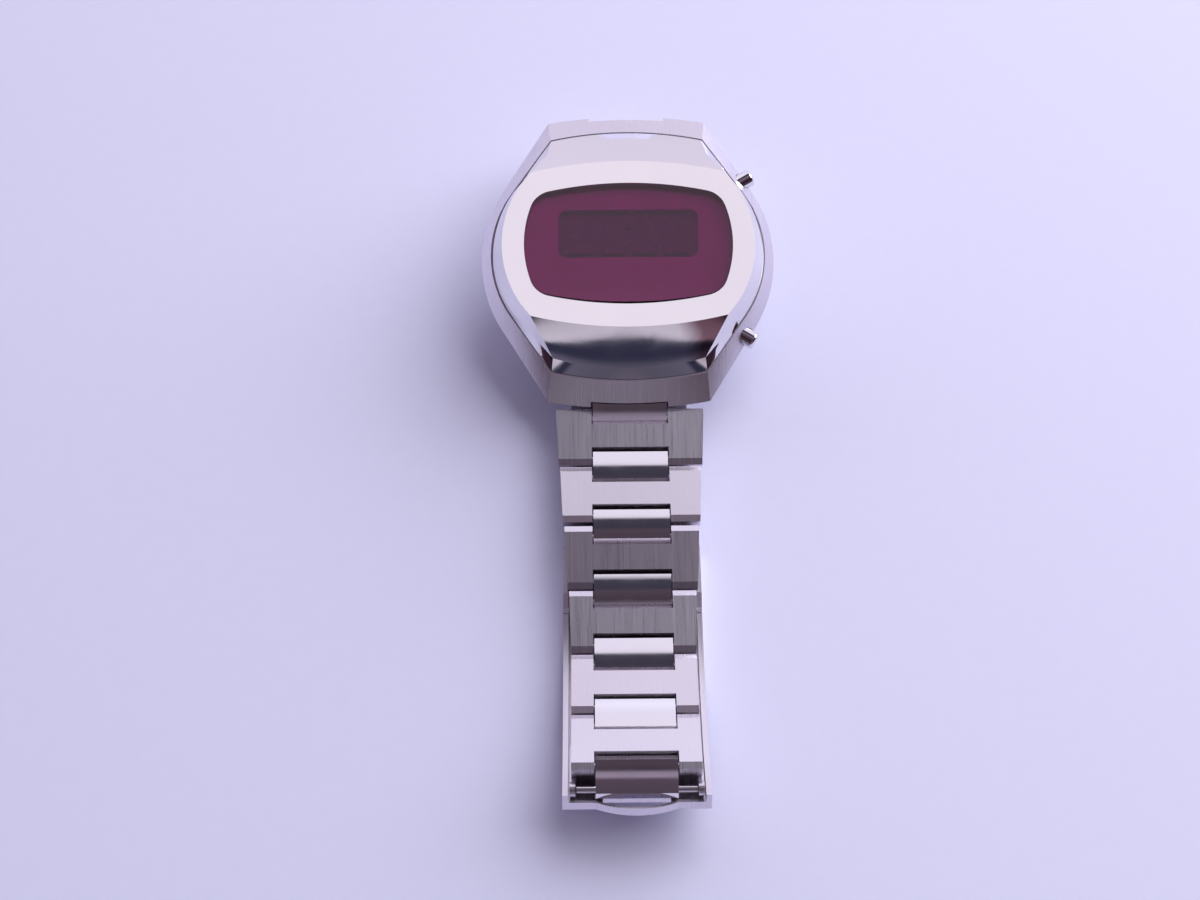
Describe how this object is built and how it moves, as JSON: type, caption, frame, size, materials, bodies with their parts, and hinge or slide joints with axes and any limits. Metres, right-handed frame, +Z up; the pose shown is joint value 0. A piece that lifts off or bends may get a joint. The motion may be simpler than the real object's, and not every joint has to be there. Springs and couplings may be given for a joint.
{
  "type": "wristwatch with red led display and link bracelet",
  "caption": "Wristwatch with a polished steel case, a red window over a dark display, side pushers and a closed link bracelet with a fold-over clasp.",
  "frame": {"origin": "bottom centre of the bounding box, on the table the closed bracelet lies on", "axes": "+X across the watch toward the pushers, +Y toward 12 o'clock, +Z up"},
  "size_m": [0.0412, 0.1036, 0.0201],
  "materials": {
    "polished_steel": "polished",
    "satin_steel": "brushed",
    "red_crystal": "polished",
    "black_rubber": "matte",
    "mask_red": "smooth",
    "display_dark": "smooth",
    "board_green": "satin",
    "chip_black": "matte",
    "holder_plastic": "matte",
    "gilt_brass": "smooth"
  },
  "bodies": {
    "head": {"case_body": "satin_steel", "bezel_shell": "polished_steel", "crystal": "red_crystal", "crystal_gasket": "black_rubber", "display_mask": "mask_red", "led_display": "display_dark", "circuit_board": "board_green", "logic_chips": "chip_black", "quartz_can": "polished_steel", "trimmer": "gilt_brass", "module_holder": "holder_plastic", "battery_cells": "polished_steel", "battery_clip": "gilt_brass", "contact_springs": "gilt_brass", "case_back": "satin_steel", "case_back_gasket": "black_rubber", "pusher_seals": "black_rubber", "spring_bar_6": "polished_steel", "spring_bar_12": "polished_steel"},
    "pusher_upper": {"pusher_upper": "polished_steel"},
    "pusher_lower": {"pusher_lower": "polished_steel"},
    "centre_6_0": {"centre_6_0": "polished_steel"},
    "link_6_1": {"link_6_1": "satin_steel"},
    "centre_6_1": {"centre_6_1": "polished_steel"},
    "link_6_2": {"link_6_2": "satin_steel"},
    "centre_6_2": {"centre_6_2": "polished_steel"},
    "link_6_3": {"link_6_3": "satin_steel"},
    "centre_6_3": {"centre_6_3": "polished_steel"},
    "link_6_4": {"link_6_4": "satin_steel"},
    "centre_6_4": {"centre_6_4": "polished_steel"},
    "link_6_5": {"link_6_5": "satin_steel"},
    "centre_6_5": {"centre_6_5": "polished_steel"},
    "link_6_6": {"link_6_6": "satin_steel"},
    "centre_6_6": {"centre_6_6": "polished_steel", "clasp_end_bar": "polished_steel"},
    "centre_12_0": {"centre_12_0": "polished_steel"},
    "link_12_1": {"link_12_1": "satin_steel"},
    "centre_12_1": {"centre_12_1": "polished_steel"},
    "link_12_2": {"link_12_2": "satin_steel"},
    "centre_12_2": {"centre_12_2": "polished_steel"},
    "link_12_3": {"link_12_3": "satin_steel"},
    "centre_12_3": {"centre_12_3": "polished_steel"},
    "link_12_4": {"link_12_4": "satin_steel"},
    "centre_12_4": {"centre_12_4": "polished_steel"},
    "link_12_5": {"link_12_5": "satin_steel"},
    "centre_12_5": {"centre_12_5": "polished_steel"},
    "link_12_6": {"link_12_6": "satin_steel"},
    "centre_12_6": {"centre_12_6": "polished_steel"},
    "link_12_7": {"link_12_7": "satin_steel"},
    "centre_12_7": {"centre_12_7": "polished_steel"},
    "link_12_8": {"link_12_8": "satin_steel"},
    "centre_12_8": {"centre_12_8": "polished_steel"},
    "clasp_cover": {"clasp_cover": "satin_steel", "clasp_spring_bar": "polished_steel", "lip_hinge_pin": "polished_steel"},
    "clasp_blade_outer": {"clasp_blade_outer": "satin_steel", "fold_hinge_pin": "polished_steel"},
    "clasp_blade_inner": {"clasp_blade_inner": "satin_steel"}
  },
  "joints": [
    {"name": "pusher_upper_press", "type": "slide", "parent": "head", "child": "pusher_upper", "axis": [-0.8517, -0.5101, -0.1197], "range_m": [0, 0.0008], "stiffness_N_per_m": 600},
    {"name": "pusher_lower_press", "type": "slide", "parent": "head", "child": "pusher_lower", "axis": [-0.8517, 0.5101, 0.1197], "range_m": [0, 0.0008], "stiffness_N_per_m": 600},
    {"name": "centre_6_0_turn", "type": "hinge", "parent": "head", "child": "centre_6_0", "pos_m": [0, 0.0096, 0.00546], "axis": [-1, 0, 0], "range_deg": [0, 3]},
    {"name": "link_6_1_turn", "type": "hinge", "parent": "centre_6_0", "child": "link_6_1", "pos_m": [0, 0.00518, 0.00476], "axis": [-1, 0, 0], "range_deg": [0, 3]},
    {"name": "centre_6_1_turn", "type": "hinge", "parent": "link_6_1", "child": "centre_6_1", "pos_m": [0, -0.00101, 0.00444], "axis": [-1, 0, 0], "range_deg": [0, 4]},
    {"name": "link_6_2_turn", "type": "hinge", "parent": "centre_6_1", "child": "link_6_2", "pos_m": [0, -0.00391, 0.00454], "axis": [-1, 0, 0], "range_deg": [0, 6]},
    {"name": "centre_6_2_turn", "type": "hinge", "parent": "link_6_2", "child": "centre_6_2", "pos_m": [0, -0.01009, 0.00508], "axis": [-1, 0, 0], "range_deg": [0, 15]},
    {"name": "link_6_3_turn", "type": "hinge", "parent": "centre_6_2", "child": "link_6_3", "pos_m": [0, -0.01299, 0.00503], "axis": [-1, 0, 0], "range_deg": [0, 16]},
    {"name": "centre_6_3_turn", "type": "hinge", "parent": "link_6_3", "child": "centre_6_3", "pos_m": [0, -0.01913, 0.00417], "axis": [-1, 0, 0], "range_deg": [0, 4]},
    {"name": "link_6_4_turn", "type": "hinge", "parent": "centre_6_3", "child": "link_6_4", "pos_m": [0, -0.02202, 0.00401], "axis": [-1, 0, 0], "range_deg": [0, 6.5]},
    {"name": "centre_6_4_turn", "type": "hinge", "parent": "link_6_4", "child": "centre_6_4", "pos_m": [0, -0.02822, 0.00396], "axis": [-1, 0, 0], "range_deg": [0, 3.5]},
    {"name": "link_6_5_turn", "type": "hinge", "parent": "centre_6_4", "child": "link_6_5", "pos_m": [0, -0.03111, 0.00421], "axis": [-1, 0, 0], "range_deg": [0, 3]},
    {"name": "centre_6_5_turn", "type": "hinge", "parent": "link_6_5", "child": "centre_6_5", "pos_m": [0, -0.0372, 0.00539], "axis": [-1, 0, 0], "range_deg": [0, 4.5]},
    {"name": "link_6_6_turn", "type": "hinge", "parent": "centre_6_5", "child": "link_6_6", "pos_m": [0, -0.03999, 0.00617], "axis": [-1, 0, 0], "range_deg": [0, 4]},
    {"name": "centre_6_6_turn", "type": "hinge", "parent": "link_6_6", "child": "centre_6_6", "pos_m": [0, -0.0458, 0.00834], "axis": [-1, 0, 0], "range_deg": [0, 39.5]},
    {"name": "centre_12_0_turn", "type": "hinge", "parent": "head", "child": "centre_12_0", "pos_m": [0, 0.04582, 0.01396], "axis": [1, 0, 0], "range_deg": [0, 43.2]},
    {"name": "link_12_1_turn", "type": "hinge", "parent": "centre_12_0", "child": "link_12_1", "pos_m": [0, 0.04949, 0.01139], "axis": [1, 0, 0], "range_deg": [0, 45]},
    {"name": "centre_12_1_turn", "type": "hinge", "parent": "link_12_1", "child": "centre_12_1", "pos_m": [0, 0.05057, 0.00528], "axis": [1, 0, 0], "range_deg": [0, 42]},
    {"name": "link_12_2_turn", "type": "hinge", "parent": "centre_12_1", "child": "link_12_2", "pos_m": [0, 0.04903, 0.00282], "axis": [1, 0, 0], "range_deg": [0, 43.43]},
    {"name": "centre_12_2_turn", "type": "hinge", "parent": "link_12_2", "child": "centre_12_2", "pos_m": [0, 0.04303, 0.00126], "axis": [1, 0, 0], "range_deg": [0, 14.5]},
    {"name": "link_12_3_turn", "type": "hinge", "parent": "centre_12_2", "child": "link_12_3", "pos_m": [0, 0.04013, 0.00126], "axis": [1, 0, 0], "range_deg": [0, 9]},
    {"name": "centre_12_3_turn", "type": "hinge", "parent": "link_12_3", "child": "centre_12_3", "pos_m": [0, 0.03393, 0.00125], "axis": [1, 0, 0], "range_deg": [0, 9]},
    {"name": "link_12_4_turn", "type": "hinge", "parent": "centre_12_3", "child": "link_12_4", "pos_m": [0, 0.03103, 0.00125], "axis": [1, 0, 0], "range_deg": [0, 9]},
    {"name": "centre_12_4_turn", "type": "hinge", "parent": "link_12_4", "child": "centre_12_4", "pos_m": [0, 0.02483, 0.00124], "axis": [1, 0, 0], "range_deg": [0, 9]},
    {"name": "link_12_5_turn", "type": "hinge", "parent": "centre_12_4", "child": "link_12_5", "pos_m": [0, 0.02193, 0.00123], "axis": [1, 0, 0], "range_deg": [0, 9]},
    {"name": "centre_12_5_turn", "type": "hinge", "parent": "link_12_5", "child": "centre_12_5", "pos_m": [0, 0.01573, 0.00123], "axis": [1, 0, 0], "range_deg": [0, 9]},
    {"name": "link_12_6_turn", "type": "hinge", "parent": "centre_12_5", "child": "link_12_6", "pos_m": [0, 0.01283, 0.00122], "axis": [1, 0, 0], "range_deg": [0, 9]},
    {"name": "centre_12_6_turn", "type": "hinge", "parent": "link_12_6", "child": "centre_12_6", "pos_m": [0, 0.00663, 0.00121], "axis": [1, 0, 0], "range_deg": [0, 9]},
    {"name": "link_12_7_turn", "type": "hinge", "parent": "centre_12_6", "child": "link_12_7", "pos_m": [0, 0.00373, 0.00121], "axis": [1, 0, 0], "range_deg": [0, 9]},
    {"name": "centre_12_7_turn", "type": "hinge", "parent": "link_12_7", "child": "centre_12_7", "pos_m": [0, -0.00247, 0.0012], "axis": [1, 0, 0], "range_deg": [0, 12.07]},
    {"name": "link_12_8_turn", "type": "hinge", "parent": "centre_12_7", "child": "link_12_8", "pos_m": [0, -0.00537, 0.00135], "axis": [1, 0, 0], "range_deg": [0, 13]},
    {"name": "centre_12_8_turn", "type": "hinge", "parent": "link_12_8", "child": "centre_12_8", "pos_m": [0, -0.01152, 0.00211], "axis": [1, 0, 0], "range_deg": [0, 2]},
    {"name": "clasp_cover_turn", "type": "hinge", "parent": "centre_12_8", "child": "clasp_cover", "pos_m": [0, -0.01752, 0.00211], "axis": [1, 0, 0], "range_deg": [0, 4]},
    {"name": "clasp_blade_outer_turn", "type": "hinge", "parent": "clasp_cover", "child": "clasp_blade_outer", "pos_m": [0, -0.04376, 0.00497], "axis": [1, 0, 0], "range_deg": [0, 160]},
    {"name": "clasp_blade_inner_turn", "type": "hinge", "parent": "clasp_blade_outer", "child": "clasp_blade_inner", "pos_m": [0, -0.02242, 0.0015], "axis": [-1, 0, 0], "range_deg": [0, 160]}
  ],
  "couplings": [
    {"joint": "link_12_1_turn", "follows": "centre_12_0_turn", "ratio": 1.0417},
    {"joint": "centre_12_1_turn", "follows": "centre_12_0_turn", "ratio": 0.97222},
    {"joint": "link_12_2_turn", "follows": "centre_12_0_turn", "ratio": 1.0053},
    {"joint": "centre_12_2_turn", "follows": "centre_12_0_turn", "ratio": 0.33558},
    {"joint": "clasp_blade_outer_turn", "follows": "centre_12_0_turn", "ratio": 3.7037},
    {"joint": "clasp_blade_inner_turn", "follows": "centre_12_0_turn", "ratio": 3.7037}
  ]
}
